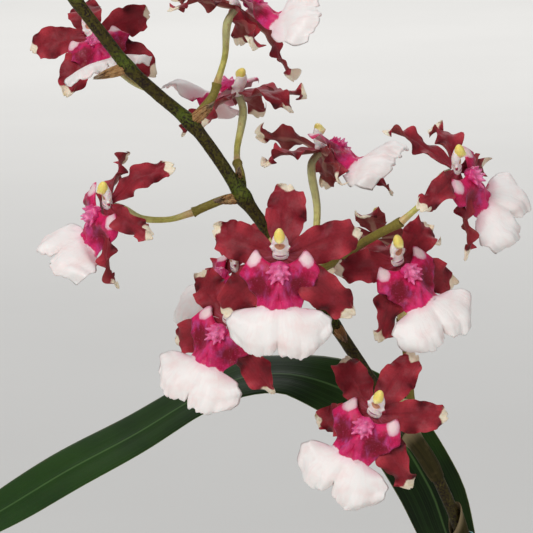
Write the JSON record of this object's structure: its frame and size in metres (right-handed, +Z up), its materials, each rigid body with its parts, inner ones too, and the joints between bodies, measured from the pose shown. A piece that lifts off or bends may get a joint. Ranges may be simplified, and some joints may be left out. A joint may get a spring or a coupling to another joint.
{
  "type": "potted orchid",
  "caption": "Oncidium orchid in a round terracotta pot of bark, with pseudobulbs, strap leaves and an arching, branched spike of maroon and pale pink flowers.",
  "frame": {"origin": "centre of the pot's flat underside, on the surface it stands on", "axes": "+Z up out of the pot; -Y towards the side that the open flowers face; +X to the right seen from that side, away from the arching spike"},
  "size_m": [0.258, 0.1585, 0.402],
  "materials": {
    "terracotta": "matte",
    "bark": "matte",
    "bulb": "satin",
    "leaf": "satin",
    "spike": "satin",
    "bud": "satin",
    "tie": "matte",
    "tepals": "satin",
    "lip": "matte",
    "pedicel": "satin"
  },
  "bodies": {
    "root": {"pot": "terracotta", "potting_medium": "bark", "pseudobulb_1": "bulb", "pseudobulb_2": "bulb", "pseudobulb_3": "bulb", "leaf_1": "leaf", "leaf_2": "leaf", "leaf_3": "leaf", "leaf_4": "leaf", "leaf_5": "leaf", "flower_spike": "spike", "bud_1": "bud", "bud_2": "bud", "bud_3": "bud", "spike_tie": "tie", "flower_01_tepals": "tepals", "flower_01_lip": "lip", "flower_01_pedicel": "pedicel", "flower_02_tepals": "tepals", "flower_02_lip": "lip", "flower_02_pedicel": "pedicel", "flower_03_tepals": "tepals", "flower_03_lip": "lip", "flower_03_pedicel": "pedicel", "flower_04_tepals": "tepals", "flower_04_lip": "lip", "flower_04_pedicel": "pedicel", "flower_05_tepals": "tepals", "flower_05_lip": "lip", "flower_05_pedicel": "pedicel", "flower_06_tepals": "tepals", "flower_06_lip": "lip", "flower_06_pedicel": "pedicel", "flower_07_tepals": "tepals", "flower_07_lip": "lip", "flower_07_pedicel": "pedicel", "flower_08_tepals": "tepals", "flower_08_lip": "lip", "flower_08_pedicel": "pedicel", "flower_09_tepals": "tepals", "flower_09_lip": "lip", "flower_09_pedicel": "pedicel", "flower_10_tepals": "tepals", "flower_10_lip": "lip", "flower_10_pedicel": "pedicel", "flower_11_tepals": "tepals", "flower_11_lip": "lip", "flower_11_pedicel": "pedicel", "flower_12_tepals": "tepals", "flower_12_lip": "lip", "flower_12_pedicel": "pedicel", "flower_13_tepals": "tepals", "flower_13_lip": "lip", "flower_13_pedicel": "pedicel", "flower_14_tepals": "tepals", "flower_14_lip": "lip", "flower_14_pedicel": "pedicel"}
  },
  "joints": []
}
